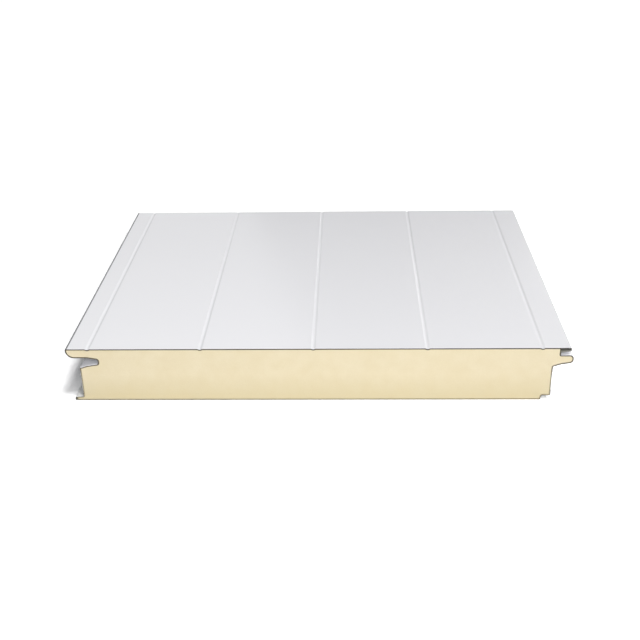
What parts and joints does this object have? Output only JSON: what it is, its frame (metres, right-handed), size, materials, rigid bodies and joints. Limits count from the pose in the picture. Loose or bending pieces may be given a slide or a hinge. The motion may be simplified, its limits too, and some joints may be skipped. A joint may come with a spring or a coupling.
{
  "type": "insulated sandwich panel",
  "caption": "Insulated wall panel: rigid foam core between a ribbed and a plain coated steel facing, with tongue and groove long edges and a hooked lip.",
  "frame": {"origin": "middle of the panel's box, on the plane of the interior face", "axes": "+X is the cover direction, from the female edge to the male edge; +Y is the panel's length; +Z goes through the thickness, from the interior face to the ribbed weather face"},
  "size_m": [1.066, 0.8, 0.125],
  "materials": {
    "outer_coating": "gloss",
    "inner_coating": "satin",
    "rigid_foam": "matte",
    "edge_foil": "satin"
  },
  "bodies": {
    "root": {"outer_facing": "outer_coating", "inner_facing": "inner_coating", "foam_core": "rigid_foam", "male_edge_tape": "edge_foil", "female_edge_tape": "edge_foil"}
  },
  "joints": []
}
